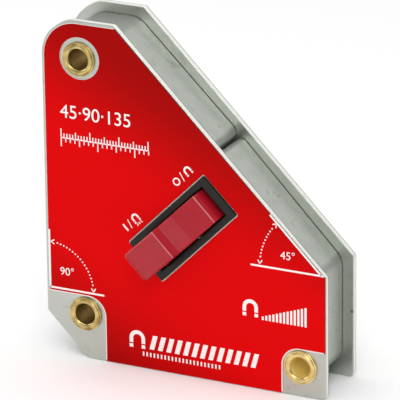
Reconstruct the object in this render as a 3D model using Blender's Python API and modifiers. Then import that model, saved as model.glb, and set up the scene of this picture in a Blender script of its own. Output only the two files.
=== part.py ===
"""Switchable magnetic welding square: two steel pole plates, spaced by a folded band and
riveted through by brass eyelets, with a rocker that slides a magnet carriage between them.

World axes: +X to the right along the base edge, +Z up along the upright edge, and +Y away
from the labelled side. The origin is the bottom centre of the whole assembly's box.
"""
import math

import bmesh
import bpy
from mathutils import Vector

MM = 0.001                     # every size below is in millimetres

# Pole plates, seen from the labelled side: x from the upright edge, y from the base edge.
WIDTH = 96.0
HEIGHT = 111.0
RIGHT_EDGE = 40.3              # height of the right edge, where the 45 degree edge starts
CORNER_CHAMFER = 14.0          # cut off the square corner, clear of a weld seam
PLATE = 2.0
DEPTH = 22.4                   # over both plates
GAP = 0.3                      # left between neighbouring pieces
ARC_STEP = math.radians(15)

# Brass eyelets: place of each axis, and its turned profile.
EYELETS = {"top": (13.0, 98.6), "corner": (13.6, 15.0), "right": (87.4, 9.7)}
SPACED_EYELETS = ("top", "corner")
EYELET_BORE = 3.3
EYELET_BARREL = 3.6
FLANGE = 5.5
FLANGE_HEIGHT = 1.0
SEAT_GAP = 0.1                 # under a flange, a lip or the label film
SPACER = 5.3

# Label film.
FILM = 0.3
FILM_INSET = 1.0               # bare plate along the left and top edges
FILM_EDGE = 0.2                # and along the base, right and 45 degree edges
FILM_LEAN = 0.5                # and along the 45 degree edge at its upper end
FILM_CORNER_NOTCH = (20.5, 20.9)   # bare plate round the corner eyelet
FILM_RIGHT_NOTCH = (81.2, 15.7)    # and round the right one
FILM_HOLE = (13.3, 98.9)
FILM_HOLE_RADIUS = 6.7
FILM_CLEARANCE = 0.35          # round the switch's lip

# Folded band, by the middle of its sheet.
BAND = 0.8
BAND_TOP = 3.7                 # inset from the top edge
BAND_LEFT = 3.9
BAND_RIGHT = 4.3
BAND_BASE = 3.7
BAND_MITRE = 3.3               # inset from the 45 degree edge at the slit
BAND_MITRE_ENDS = 4.1          # and at the far corners, as each half leans inwards
SLIT = 0.5
SLIT_ALONG = 10.7              # from the switch's centre line, towards the top corner
TURNED_IN = 4.8                # how far the band's ends run inwards at the slit

# Rocker switch, in its own frame: u towards the 45 degree edge, v across, p proud of the plate.
SWITCH = (47.95, 48.9)
LIP = (36.2, 15.7)
LIP_HEIGHT = 1.0
CUP = (33.8, 13.6)
CUP_OPENING = (30.8, 11.2)
CUP_DEPTH = 9.0
WINDOW_MARGIN = 0.4
PIVOT_P = -4.0
PIN = 1.0
PIN_HOLE = 1.06
ROCKER_BORE = 1.1
ROCKER_WIDTH = 10.5
ROCKER_WALL = 14.2             # outer radius of the skirts about the pivot
SKIRT = 1.6
ROCKER_SWING = math.radians(26)
ROCKER_TOP = [                 # paddle, step, ramp and far end, as (u, p, radius)
    (-15.4, 9.75, 0.8),
    (-15.3, 13.0, 0.9),
    (-3.9, 9.1, 0.5),
    (-2.4, 6.5, 0.6),
    (2.7, 4.9, 0),
    (12.1, 3.2, 0.4),
    (12.9, 1.9, 0),
]

# Magnet carriage behind the rocker, driven by a cross pin in the rocker's fork.
DRIVE_P = -12.9
FORK_SLOT = 1.12
FORK_OUTER = 2.3
FORK_REACH = 10.4
FORK_ROOT = 4.0
FORK_SLOT_END = 7.3
CARRIAGE_U = (-18.5, 13.0)
CARRIAGE_V = 10.4
CARRIAGE_P = (-19.9, -15.2)
CARRIAGE_POCKETS = ((-16.8, -6.2), (0.8, 11.4))
POCKET_V = 7.5
EAR_V = (5.7, 7.7)
EAR_HALF = 1.9
EAR_TOP = -11.5
RAIL_U = (-20.0, 17.6)

# Fixed magnets between the plates: frame, low corner and size.
BLOCKS = {
    "side_magnet": ("plates", (7.0, 34.0), (11.0, 46.0)),
    "base_magnet": ("plates", (33.0, 6.5), (46.0, 11.0)),
    "mitre_magnet_upper": ("switch", (8.0, 17.0), (12.0, 16.0)),
    "mitre_magnet_lower": ("switch", (8.0, -33.0), (12.0, 16.0)),
}


def clear_scene():
    for thing in list(bpy.data.objects):
        bpy.data.objects.remove(thing, do_unlink=True)


def new_collection(name):
    collection = bpy.data.collections.new(name)
    bpy.context.scene.collection.children.link(collection)
    return collection


def finish(name, colour, roughness, metallic):
    """A plain Principled finish."""
    material = bpy.data.materials.new(name)
    material.use_nodes = True
    shader = material.node_tree.nodes["Principled BSDF"]
    shader.inputs["Base Color"].default_value = (*colour, 1.0)
    shader.inputs["Roughness"].default_value = roughness
    shader.inputs["Metallic"].default_value = metallic
    return material


def empty(name, collection, parent=None, location=(0, 0, 0), rotation=(0, 0, 0)):
    """A frame to hang pieces on; location in millimetres."""
    frame = bpy.data.objects.new(name, None)
    frame.empty_display_size = 5 * MM
    frame.location = Vector(location) * MM
    frame.rotation_euler = rotation
    frame.parent = parent
    collection.objects.link(frame)
    return frame


def arc(centre, radius, start, end):
    """Points on an arc, from one angle to another."""
    steps = max(2, math.ceil(abs(end - start) / ARC_STEP))
    angles = [start + (end - start) * index / steps for index in range(steps + 1)]
    return [Vector((centre[0] + radius * math.cos(a), centre[1] + radius * math.sin(a))) for a in angles]


def circle(centre, radius, count=24):
    angles = [2 * math.pi * index / count for index in range(count)]
    return [Vector((centre[0] + radius * math.cos(a), centre[1] + radius * math.sin(a))) for a in angles]


def rounded(corners, closed=True):
    """An outline from corners (x, y, radius); an open one keeps its two ends."""
    outline = []
    for index, (x, y, radius) in enumerate(corners):
        corner = Vector((x, y))
        at_end = not closed and index in (0, len(corners) - 1)
        if radius == 0 or at_end:
            outline.append(corner)
            continue
        back = (Vector(corners[index - 1][:2]) - corner).normalized()
        onward = (Vector(corners[(index + 1) % len(corners)][:2]) - corner).normalized()
        half = back.angle(onward) / 2
        centre = corner + (back + onward).normalized() * radius / math.sin(half)
        first = corner + back * radius / math.tan(half) - centre
        last = corner + onward * radius / math.tan(half) - centre
        start = math.atan2(first.y, first.x)
        sweep = math.atan2(first.cross(last), first.dot(last))
        outline += arc(centre, radius, start, start + sweep)
    return outline


def rectangle(size, radius, centre=(0, 0)):
    """A rounded rectangle about a centre."""
    half_u = size[0] / 2
    half_v = size[1] / 2
    signs = ((-1, -1), (1, -1), (1, 1), (-1, 1))
    return rounded([(centre[0] + su * half_u, centre[1] + sv * half_v, radius) for su, sv in signs])


def turned_45(outline):
    """The switch's outline, turned into the plates' frame."""
    half_root = math.sqrt(0.5)
    return [Vector((SWITCH[0] + (p.x - p.y) * half_root, SWITCH[1] + (p.x + p.y) * half_root))
            for p in outline]


def flat(name, loops, low, high, parent, collection, material, upright=None):
    """A flat piece: the first loop is its outline and the others are its holes.

    It reaches from low to high along its frame's third axis, or, where upright is 'v' or 'u',
    its loops lie in the (u, p) or (v, p) plane and it reaches along that axis.
    """
    data = bpy.data.curves.new(name, "CURVE")
    data.dimensions = "2D"
    data.fill_mode = "BOTH"
    data.extrude = (high - low) / 2 * MM
    data.render_resolution_u = 0
    for loop in loops:
        spline = data.splines.new("POLY")
        spline.points.add(len(loop) - 1)
        spline.use_cyclic_u = True
        for point, place in zip(spline.points, loop):
            point.co = (place[0] * MM, place[1] * MM, 0, 1)
    piece = bpy.data.objects.new(name, data)
    piece.parent = parent
    middle = (low + high) / 2 * MM
    if upright == "v":
        piece.rotation_euler = (math.pi / 2, 0, 0)
        piece.location = (0, middle, 0)
    elif upright == "u":
        piece.rotation_euler = (math.pi / 2, 0, math.pi / 2)
        piece.location = (middle, 0, 0)
    else:
        piece.location = (0, 0, middle)
    data.materials.append(material)
    collection.objects.link(piece)
    return piece


def as_mesh(piece):
    """The same piece as a welded mesh, so that Booleans can use it."""
    bpy.context.view_layer.update()
    evaluated = piece.evaluated_get(bpy.context.evaluated_depsgraph_get())
    mesh = bpy.data.meshes.new_from_object(evaluated)
    shape = bmesh.new()
    shape.from_mesh(mesh)
    bmesh.ops.remove_doubles(shape, verts=shape.verts, dist=0.001 * MM)
    shape.to_mesh(mesh)
    shape.free()
    solid = bpy.data.objects.new(piece.name + "_solid", mesh)
    solid.parent = piece.parent
    solid.location = piece.location
    solid.rotation_euler = piece.rotation_euler
    for collection in piece.users_collection:
        collection.objects.link(solid)
    name = piece.name
    bpy.data.objects.remove(piece, do_unlink=True)
    solid.name = name
    return solid


def combine(target, operand, operation):
    """Join or cut with a hidden helper."""
    operand.hide_render = True
    operand.display_type = "WIRE"
    modifier = target.modifiers.new(operation.title(), "BOOLEAN")
    modifier.operation = operation
    modifier.solver = "EXACT"
    modifier.object = operand


def rod(name, radius, half_length, u, p, parent, collection, material, sides=16):
    """A round bar along v."""
    mesh = bpy.data.meshes.new(name)
    shape = bmesh.new()
    bmesh.ops.create_cone(shape, cap_ends=True, segments=sides, radius1=radius * MM,
                          radius2=radius * MM, depth=2 * half_length * MM)
    shape.to_mesh(mesh)
    shape.free()
    piece = bpy.data.objects.new(name, mesh)
    piece.rotation_euler = (math.pi / 2, 0, 0)
    piece.location = (u * MM, 0, p * MM)
    piece.parent = parent
    if material:
        mesh.materials.append(material)
    collection.objects.link(piece)
    return piece


def turned(name, profile, centre, parent, collection, material):
    """A closed profile of (radius, height), spun about the frame's third axis."""
    mesh = bpy.data.meshes.new(name)
    shape = bmesh.new()
    ring = [shape.verts.new((r * MM, 0, h * MM)) for r, h in profile]
    for vert, following in zip(ring, ring[1:] + ring[:1]):
        shape.edges.new((vert, following))
    shape.to_mesh(mesh)
    shape.free()
    piece = bpy.data.objects.new(name, mesh)
    piece.location = (centre[0] * MM, centre[1] * MM, 0)
    piece.parent = parent
    spin = piece.modifiers.new("Spin", "SCREW")
    spin.steps = 24
    spin.render_steps = 24
    spin.use_merge_vertices = True
    spin.merge_threshold = 0.00001
    mesh.materials.append(material)
    collection.objects.link(piece)
    return piece


def strip(name, path, low, high, parent, collection, material):
    """A folded sheet strip: an open path, drawn out across its width and thickened."""
    mesh = bpy.data.meshes.new(name)
    shape = bmesh.new()
    verts = [shape.verts.new((p.x * MM, p.y * MM, low * MM)) for p in path]
    edges = [shape.edges.new(pair) for pair in zip(verts, verts[1:])]
    drawn = bmesh.ops.extrude_edge_only(shape, edges=edges)["geom"]
    lifted = [item for item in drawn if isinstance(item, bmesh.types.BMVert)]
    bmesh.ops.translate(shape, verts=lifted, vec=(0, 0, (high - low) * MM))
    bmesh.ops.recalc_face_normals(shape, faces=shape.faces)
    shape.to_mesh(mesh)
    shape.free()
    piece = bpy.data.objects.new(name, mesh)
    piece.parent = parent
    thicken = piece.modifiers.new("Sheet", "SOLIDIFY")
    thicken.thickness = BAND * MM
    thicken.offset = 0
    thicken.use_even_offset = True
    mesh.materials.append(material)
    collection.objects.link(piece)
    return piece


def plate_outline():
    """Five working edges, the chamfered square corner and the round top corner."""
    mitre_top = WIDTH + RIGHT_EDGE - HEIGHT
    return rounded([
        (CORNER_CHAMFER, 0, 1.2),
        (WIDTH, 0, 2.0),
        (WIDTH, RIGHT_EDGE, 1.5),
        (mitre_top, HEIGHT, 1.5),
        (0, HEIGHT, 12.5),
        (0, CORNER_CHAMFER, 1.2),
    ])


def label_outline():
    """The film stops short of the plate's edges and of the two lower eyelets."""
    mitre = WIDTH + RIGHT_EDGE
    right = WIDTH - FILM_EDGE
    top = HEIGHT - FILM_INSET
    corner_x, corner_y = FILM_CORNER_NOTCH
    right_x, right_y = FILM_RIGHT_NOTCH
    return rounded([
        (corner_x, FILM_EDGE, 0.5),
        (right_x, FILM_EDGE, 0.5),
        (right_x, right_y, 5.8),
        (right, right_y, 0.5),
        (right, mitre - FILM_EDGE * math.sqrt(2) - right, 0.8),
        (mitre - FILM_LEAN * math.sqrt(2) - top, top, 0.8),
        (FILM_INSET, top, 11.3),
        (FILM_INSET, corner_y, 0.5),
        (corner_x, corner_y, 6.0),
    ])


def band_paths():
    """Middle lines of the two band halves, which meet at the slit and at the chamfer."""
    root = math.sqrt(2)
    mitre = WIDTH + RIGHT_EDGE
    along = Vector((-1, 1)) / root
    inward = Vector((-1, -1)) / root
    centre_sum = mitre - BAND_MITRE * root
    slit = turned_45([Vector((0, SLIT_ALONG))])[0]
    slit += Vector((1, 1)) * (centre_sum - slit.x - slit.y) / 2
    lean_sum = mitre - BAND_MITRE_ENDS * root
    chamfer_sum = CORNER_CHAMFER + BAND_LEFT * root
    step = (SLIT + BAND) / 2
    upper_bend = slit + along * step
    lower_bend = slit - along * step
    upper_end = upper_bend + inward * TURNED_IN
    lower_end = lower_bend + inward * TURNED_IN
    top = HEIGHT - BAND_TOP
    right = WIDTH - BAND_RIGHT
    meet = chamfer_sum / 2
    side = step / root
    upper = rounded([
        (upper_end.x, upper_end.y, 0),
        (upper_bend.x, upper_bend.y, 3.4),
        (lean_sum - top, top, 6.0),
        (BAND_LEFT, top, 9.0),
        (BAND_LEFT, chamfer_sum - BAND_LEFT, 3.0),
        (meet - side, meet + side, 0),
    ], closed=False)
    lower = rounded([
        (lower_end.x, lower_end.y, 0),
        (lower_bend.x, lower_bend.y, 2.8),
        (right, lean_sum - right, 6.0),
        (right, BAND_BASE, 6.0),
        (chamfer_sum - BAND_BASE, BAND_BASE, 3.0),
        (meet + side, meet - side, 0),
    ], closed=False)
    return upper, lower


def eyelet_profile():
    """Rolled rims over both plates and a thin barrel between them."""
    foot = SEAT_GAP
    crown = FLANGE_HEIGHT
    front = [(EYELET_BORE + 0.15, crown - 0.25), (EYELET_BORE + 0.6, crown), (FLANGE - 0.8, crown),
             (FLANGE - 0.2, crown - 0.3), (FLANGE, foot + 0.2), (FLANGE - 0.1, foot),
             (EYELET_BARREL, foot)]
    rear = [(radius, -DEPTH - height) for radius, height in reversed(front)]
    bore = [(EYELET_BORE, -DEPTH - foot), (EYELET_BORE, foot)]
    return front + rear + bore


def rocker_loops():
    """Side view of the rocker in (u, p), at rest in its off position, and its pin bore."""
    pivot = (0.0, PIVOT_P)
    lean = math.radians(-90) - ROCKER_SWING / 2
    down = Vector((math.cos(lean), math.sin(lean)))
    across = Vector((-down.y, down.x))

    def fork(offset, reach):
        place = Vector(pivot) + down * reach + across * offset
        return (place.x, place.y, 0)

    upper = rounded(ROCKER_TOP, closed=False)
    right_skirt = arc(pivot, ROCKER_WALL, math.radians(20), math.radians(-30))
    right_inside = arc(pivot, ROCKER_WALL - SKIRT, math.radians(-30), math.radians(22))
    web = rounded([
        (3.2, 2.6, 0.8),
        (2.9, -4.0, 1.5),
        fork(FORK_OUTER, FORK_ROOT),
        fork(FORK_OUTER, FORK_REACH),
        fork(FORK_SLOT, FORK_REACH),
        fork(FORK_SLOT, FORK_SLOT_END),
        fork(-FORK_SLOT, FORK_SLOT_END),
        fork(-FORK_SLOT, FORK_REACH),
        fork(-FORK_OUTER, FORK_REACH),
        fork(-FORK_OUTER, FORK_ROOT),
        (-2.9, -3.0, 1.5),
        (-2.9, 4.0, 0.8),
    ], closed=False)
    left_inside = arc(pivot, ROCKER_WALL - SKIRT, math.radians(150), math.radians(190))
    left_skirt = arc(pivot, ROCKER_WALL, math.radians(190), math.radians(140))
    under_paddle = [Vector((-10.9, 7.4))]
    outline = upper + right_skirt + right_inside + web + left_inside + left_skirt + under_paddle
    return [outline, circle(pivot, ROCKER_BORE)]


def rail_outline(side):
    """An L that guides the carriage's edge and laps over it, in (v, p)."""
    low = -(DEPTH - PLATE) + GAP
    lap = CARRIAGE_P[1] + GAP
    inner = CARRIAGE_V + GAP
    corners = [(inner, low), (inner + 2.5, low), (inner + 2.5, lap + 1.1), (inner - 1.4, lap + 1.1),
               (inner - 1.4, lap), (inner, lap)]
    return [Vector((side * v, p)) for v, p in corners]


clear_scene()
parts = new_collection("welding_magnet_holder")
cutters = new_collection("cutters")

zinc = finish("zinc_plated_steel", (0.55, 0.55, 0.50), 0.35, 1.0)
steel_band = finish("galvanised_band", (0.50, 0.50, 0.47), 0.45, 1.0)
label_red = finish("red_film", (0.72, 0.01, 0.015), 0.35, 0.0)
brass = finish("brass", (0.80, 0.62, 0.25), 0.22, 1.0)
bright_steel = finish("bright_steel", (0.60, 0.60, 0.60), 0.25, 1.0)
bezel_black = finish("black_abs", (0.025, 0.028, 0.024), 0.45, 0.0)
rocker_red = finish("maroon_abs", (0.42, 0.03, 0.05), 0.25, 0.0)
acetal = finish("white_acetal", (0.75, 0.75, 0.72), 0.45, 0.0)
ferrite = finish("ferrite", (0.06, 0.06, 0.065), 0.6, 0.2)
nickel = finish("nickel_plated_magnet", (0.62, 0.60, 0.56), 0.2, 1.0)

rocker_side, rocker_bore = rocker_loops()
rocker_crown = max(point.y for point in rocker_side)
depth_centre = (DEPTH + FLANGE_HEIGHT - rocker_crown) / 2

plates = empty("plates_frame", parts, None, (-WIDTH / 2, -depth_centre, 0), (math.pi / 2, 0, 0))
switch = empty("switch_frame", parts, plates, (*SWITCH, 0), (0, 0, math.radians(45)))
frames = {"plates": plates, "switch": switch}

# The two pole plates; the front one has the switch's window.
bores = [circle(centre, EYELET_BARREL + GAP) for centre in EYELETS.values()]
window = turned_45(rectangle([size + 2 * WINDOW_MARGIN for size in CUP], 0.6))
flat("front_plate", [plate_outline(), window] + bores, -PLATE, 0, plates, parts, zinc)
flat("rear_plate", [plate_outline()] + bores, -DEPTH, -DEPTH + PLATE, plates, parts, zinc)

# The printed film on the front plate.
film_window = turned_45(rectangle([size + 2 * FILM_CLEARANCE for size in LIP], 0.5))
film_hole = circle(FILM_HOLE, FILM_HOLE_RADIUS)
flat("front_label", [label_outline(), film_window, film_hole], SEAT_GAP, SEAT_GAP + FILM,
     plates, parts, label_red)

# The folded band that closes the rim between the plates, in two halves.
inner_low = -(DEPTH - PLATE) + GAP
inner_high = -PLATE - GAP
for half, path in zip(("upper_band", "lower_band"), band_paths()):
    strip(half, path, inner_low, inner_high, plates, parts, steel_band)

# Brass eyelets through everything, and the sleeves that space the plates round two of them.
for place, centre in EYELETS.items():
    turned("eyelet_" + place, eyelet_profile(), centre, plates, parts, brass)
for place in SPACED_EYELETS:
    sleeve = [circle(EYELETS[place], SPACER), circle(EYELETS[place], EYELET_BARREL + GAP)]
    flat("spacer_" + place, sleeve, inner_low, inner_high, plates, parts, bright_steel)

# Switch housing: a lip over the plate and an open cup through it, bored for the hinge pin.
opening = rectangle(CUP_OPENING, 0.4)
bezel = as_mesh(flat("switch_bezel", [rectangle(LIP, 0.8), opening], SEAT_GAP,
                     LIP_HEIGHT + SEAT_GAP, switch, parts, bezel_black))
cup = as_mesh(flat("bezel_cup", [rectangle(CUP, 0.6), opening], -CUP_DEPTH,
                   (SEAT_GAP + LIP_HEIGHT) / 2, switch, cutters, bezel_black))
combine(bezel, cup, "UNION")
pin_drill = rod("pin_drill", PIN_HOLE, CUP[1], 0, PIVOT_P, switch, cutters, None, sides=24)
combine(bezel, pin_drill, "DIFFERENCE")

# Rocker on its pin. Its parent stands on the pin's axis.
pivot = empty("rocker_pivot", parts, switch, (0, 0, PIVOT_P))
rocker_side = [Vector((p.x, p.y - PIVOT_P)) for p in rocker_side]
rocker_bore = [Vector((p.x, p.y - PIVOT_P)) for p in rocker_bore]
flat("rocker", [rocker_side, rocker_bore], -ROCKER_WIDTH / 2, ROCKER_WIDTH / 2, pivot, parts,
     rocker_red, upright="v")
rod("hinge_pin", PIN, CUP[1] / 2 - 0.05, 0, PIVOT_P, switch, parts, bright_steel)

# Carriage with two magnets, slid along u by a cross pin in the rocker's fork.
slide = empty("magnet_slide", parts, switch)
drive_u = -(PIVOT_P - DRIVE_P) * math.tan(ROCKER_SWING / 2)
carriage_middle = (sum(CARRIAGE_U) / 2, 0)
carriage_size = (CARRIAGE_U[1] - CARRIAGE_U[0], 2 * CARRIAGE_V)
pockets = [rectangle((high - low, 2 * POCKET_V), 0.4, ((low + high) / 2, 0))
           for low, high in CARRIAGE_POCKETS]
carriage = as_mesh(flat("magnet_carriage", [rectangle(carriage_size, 1.5, carriage_middle)] + pockets,
                        *CARRIAGE_P, slide, parts, acetal))
ear_outline = rounded([
    (drive_u - EAR_HALF, CARRIAGE_P[0] + 2.0, 0),
    (drive_u + EAR_HALF, CARRIAGE_P[0] + 2.0, 0),
    (drive_u + EAR_HALF, EAR_TOP, 1.2),
    (drive_u - EAR_HALF, EAR_TOP, 1.2),
])
for side, (near, far) in (("left", EAR_V), ("right", (-EAR_V[1], -EAR_V[0]))):
    ear = as_mesh(flat("ear_" + side, [ear_outline], near, far, slide, cutters, acetal, upright="v"))
    combine(carriage, ear, "UNION")
drive_drill = rod("drive_drill", PIN_HOLE, EAR_V[1] + 1, drive_u, DRIVE_P, slide, cutters, None, sides=24)
combine(carriage, drive_drill, "DIFFERENCE")
rod("drive_pin", PIN, EAR_V[1] - 0.1, drive_u, DRIVE_P, slide, parts, bright_steel)
for letter, (low, high) in zip("ab", CARRIAGE_POCKETS):
    block = rectangle((high - low - 2 * GAP, 2 * (POCKET_V - GAP)), 0.3, ((low + high) / 2, 0))
    flat("carriage_magnet_" + letter, [block], *CARRIAGE_P, slide, parts, nickel)

# Rails fixed to the rear plate, on both sides of the carriage.
for place, side in (("upper", 1), ("lower", -1)):
    flat("guide_rail_" + place, [rail_outline(side)], *RAIL_U, switch, parts, bright_steel, upright="u")

# Fixed magnets beside each working edge.
for name, (frame, corner, size) in BLOCKS.items():
    middle = (corner[0] + size[0] / 2, corner[1] + size[1] / 2)
    flat(name, [rectangle(size, 0.6, middle)], inner_low, inner_high, frames[frame], parts, ferrite)
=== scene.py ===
"""Looks of a switchable magnetic welding square, made in the order in which it is put together.

Shapes are drawn in millimetres, in one of two frames of the workpiece side. PLATES has x from
the upright edge, y from the base edge, and height above the front plate's face. SWITCH stands
on the switch's middle, with u towards the 45 degree edge and v along it.
"""
import math

import bmesh
import bpy
from mathutils import Matrix, Vector


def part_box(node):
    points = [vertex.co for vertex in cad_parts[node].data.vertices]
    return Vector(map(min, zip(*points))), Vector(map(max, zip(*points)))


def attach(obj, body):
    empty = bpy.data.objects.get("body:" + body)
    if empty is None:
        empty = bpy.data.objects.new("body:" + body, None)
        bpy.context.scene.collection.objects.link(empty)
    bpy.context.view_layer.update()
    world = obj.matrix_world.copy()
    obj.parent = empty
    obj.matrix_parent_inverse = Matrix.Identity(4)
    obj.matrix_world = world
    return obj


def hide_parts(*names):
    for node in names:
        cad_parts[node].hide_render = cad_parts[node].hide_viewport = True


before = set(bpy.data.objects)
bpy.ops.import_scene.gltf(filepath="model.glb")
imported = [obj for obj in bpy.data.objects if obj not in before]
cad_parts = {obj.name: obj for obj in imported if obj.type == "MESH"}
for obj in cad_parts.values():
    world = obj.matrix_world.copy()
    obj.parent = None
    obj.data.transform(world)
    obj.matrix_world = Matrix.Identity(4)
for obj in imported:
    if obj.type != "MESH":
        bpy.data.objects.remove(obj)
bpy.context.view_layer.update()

# Rear pole plate: 2 mm cold-rolled steel, blanked to five working edges and zinc plated. The
# press leaves a slightly rounded rim, and the rolls and the plating bath leave a faint grain
# and clouds. Its three holes take the eyelets.
MM = 0.001
EDGE_LOW, EDGE_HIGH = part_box("front_plate")
WIDTH = (EDGE_HIGH.x - EDGE_LOW.x) / MM
HEIGHT = (EDGE_HIGH.z - EDGE_LOW.z) / MM
PLATE = (EDGE_HIGH.y - EDGE_LOW.y) / MM
DEPTH = (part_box("rear_plate")[1].y - EDGE_LOW.y) / MM
RIGHT_EDGE = 40.3              # height of the right edge, where the 45 degree edge starts
CORNER_CHAMFER = 14.0
RIM = 0.45                     # rounding left by the press along both faces
PLATE_CORNERS = [
    (CORNER_CHAMFER, 0, 1.2),
    (WIDTH, 0, 2.0),
    (WIDTH, RIGHT_EDGE, 1.5),
    (WIDTH + RIGHT_EDGE - HEIGHT, HEIGHT, 1.5),
    (0, HEIGHT, 12.5),
    (0, CORNER_CHAMFER, 1.2),
]
EYELETS = {"top": (13.0, 98.6), "corner": (13.6, 15.0), "right": (87.4, 9.7)}
EYELET_HOLE = 3.9
PLATES = (Matrix.Translation(EDGE_LOW) @ Matrix.Rotation(math.pi / 2, 4, "X")
          @ Matrix.Scale(MM, 4))


def colour(hex_code):
    """An sRGB hex colour, as the linear values that shaders and lights take."""
    levels = [int(hex_code[start:start + 2], 16) / 255 for start in (1, 3, 5)]
    linear = [level / 12.92 if level <= 0.04045 else ((level + 0.055) / 1.055) ** 2.4 for level in levels]
    return (*linear, 1.0)


def add_node(tree, kind, inputs=None, **settings):
    """Add a shader node, set it up, and feed its inputs with values or other nodes' outputs."""
    node = tree.nodes.new("ShaderNode" + kind)
    for name, value in settings.items():
        setattr(node, name, value)
    for socket, value in (inputs or {}).items():
        if isinstance(value, bpy.types.NodeSocket):
            tree.links.new(value, node.inputs[socket])
        else:
            node.inputs[socket].default_value = value
    return node


def new_finish(name):
    """An empty material, its node tree, and the place on the object that its patterns read."""
    material = bpy.data.materials.new(name)
    material.use_nodes = True
    tree = material.node_tree
    tree.nodes.clear()
    return material, tree, add_node(tree, "TexCoord").outputs["Object"]


def draw_loop(shape, corners):
    """Draw a closed outline from corners (x, y, radius), each rounded to its radius."""
    known = set(shape.faces)
    outline = shape.faces.new([shape.verts.new((x, y, 0)) for x, y, radius in corners])
    for index, (vert, (x, y, radius)) in enumerate(zip(list(outline.verts), corners)):
        if radius == 0:
            continue
        back = Vector(corners[index - 1][:2]) - Vector((x, y))
        onward = Vector(corners[(index + 1) % len(corners)][:2]) - Vector((x, y))
        reach = radius / math.tan(back.angle(onward) / 2)
        bmesh.ops.bevel(shape, geom=[vert], offset=reach, offset_type="OFFSET", affect="VERTICES",
                        segments=6 + round(radius), profile=0.5, material=-1)
    drawn = [face for face in shape.faces if face not in known]
    edges = list({edge for face in drawn for edge in face.edges})
    bmesh.ops.delete(shape, geom=drawn, context="FACES_ONLY")
    return edges


def draw_hole(shape, centre, radius, segments=48):
    """Draw a round hole inside an outline."""
    ring = bmesh.ops.create_circle(shape, cap_ends=False, segments=segments, radius=radius)["verts"]
    bmesh.ops.translate(shape, verts=ring, vec=(*centre, 0))


def round_rim(shape, cap, radius, steps):
    """Round the edge of a flat cap with a quarter circle, by which the cap rises."""
    for step in range(steps):
        start = math.pi / 2 * step / steps
        end = math.pi / 2 * (step + 1) / steps
        bmesh.ops.inset_region(shape, faces=cap, use_boundary=True, use_even_offset=True,
                               thickness=radius * (math.cos(start) - math.cos(end)),
                               depth=radius * (math.sin(end) - math.sin(start)))


def raise_sheet(shape, low, high, rim, steps=3):
    """Fill the drawn loops and raise them to a sheet from low to high with rounded rims."""
    filled = bmesh.ops.triangle_fill(shape, edges=shape.edges[:], use_beauty=True,
                                     use_dissolve=False, normal=(0, 0, 1))["geom"]
    floor_cap = [item for item in filled if isinstance(item, bmesh.types.BMFace)]
    bmesh.ops.translate(shape, verts=shape.verts, vec=(0, 0, low + rim))
    raised = bmesh.ops.extrude_face_region(shape, geom=floor_cap)["geom"]
    top_cap = [item for item in raised if isinstance(item, bmesh.types.BMFace)]
    top_verts = [item for item in raised if isinstance(item, bmesh.types.BMVert)]
    bmesh.ops.translate(shape, verts=top_verts, vec=(0, 0, high - low - 2 * rim))
    bmesh.ops.recalc_face_normals(shape, faces=shape.faces)
    if rim:
        round_rim(shape, floor_cap, rim, steps)
        round_rim(shape, top_cap, rim, steps)
    return top_cap


def place_piece(name, shape, place, *finishes):
    """Set a shape down in its place in metres and give it its finishes."""
    bmesh.ops.transform(shape, matrix=place, verts=shape.verts)
    mesh = bpy.data.meshes.new(name)
    shape.to_mesh(mesh)
    shape.free()
    mesh.shade_smooth()
    mesh.set_sharp_from_angle(angle=math.radians(50))
    for finish in finishes:
        mesh.materials.append(finish)
    piece = bpy.data.objects.new(name, mesh)
    bpy.context.scene.collection.objects.link(piece)
    piece.modifiers.new("flat_faces_stay_flat", "WEIGHTED_NORMAL").keep_sharp = True
    return piece


# Zinc-plated cold-rolled steel: satin grey, a little warm, with soft clouds, rolling marks
# along the base edge and a few dull rubbed places.
zinc_plate, tree, spot = new_finish("zinc_plated_cold_rolled_steel")
clouds = add_node(tree, "TexNoise", {"Vector": spot, "Scale": 1 / (9 * MM), "Detail": 3.0})
# Real rolling marks are about 0.1 mm apart: drawn at 0.5 mm to show.
along_rolls = add_node(tree, "Mapping", {"Vector": spot,
                                         "Scale": (1 / (9 * MM), 1 / (0.5 * MM), 1 / (0.5 * MM))})
rolling = add_node(tree, "TexNoise", {"Vector": along_rolls.outputs[0], "Scale": 1.0, "Detail": 2.0})
rubs = add_node(tree, "TexNoise", {"Vector": spot, "Scale": 1 / (4 * MM), "Detail": 4.0, "Roughness": 0.65})
rubbed = add_node(tree, "MapRange", {"Value": rubs.outputs["Fac"], "From Min": 0.56, "From Max": 0.72})
cloudy = add_node(tree, "Mix", {0: clouds.outputs["Fac"], 6: colour("#B8BBB2"), 7: colour("#C8CBC4")},
                  data_type="RGBA")
worn = add_node(tree, "Mix", {0: rubbed.outputs[0], 6: cloudy.outputs[2], 7: colour("#B2B4AC")},
                data_type="RGBA")
# Small nicks and specks of dirt, about one to the square centimetre.
nicks = add_node(tree, "TexVoronoi", {"Vector": spot, "Scale": 1 / (7 * MM)})
nicked = add_node(tree, "MapRange", {"Value": nicks.outputs["Distance"], "From Min": 0.05, "From Max": 0.10,
                                     "To Min": 0.75, "To Max": 0.0})
specked = add_node(tree, "Mix", {0: nicked.outputs[0], 6: worn.outputs[2], 7: colour("#4E4C46")},
                   data_type="RGBA")
dull = add_node(tree, "MapRange", {"Value": rolling.outputs["Fac"], "To Min": 0.30, "To Max": 0.46})
ridges = add_node(tree, "Bump", {"Height": rolling.outputs["Fac"], "Strength": 0.25, "Distance": 0.02 * MM})
steel = add_node(tree, "BsdfPrincipled", {"Base Color": specked.outputs[2], "Metallic": 1.0,
                                          "Roughness": dull.outputs[0], "Normal": ridges.outputs[0]})
add_node(tree, "OutputMaterial", {"Surface": steel.outputs[0]})

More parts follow.
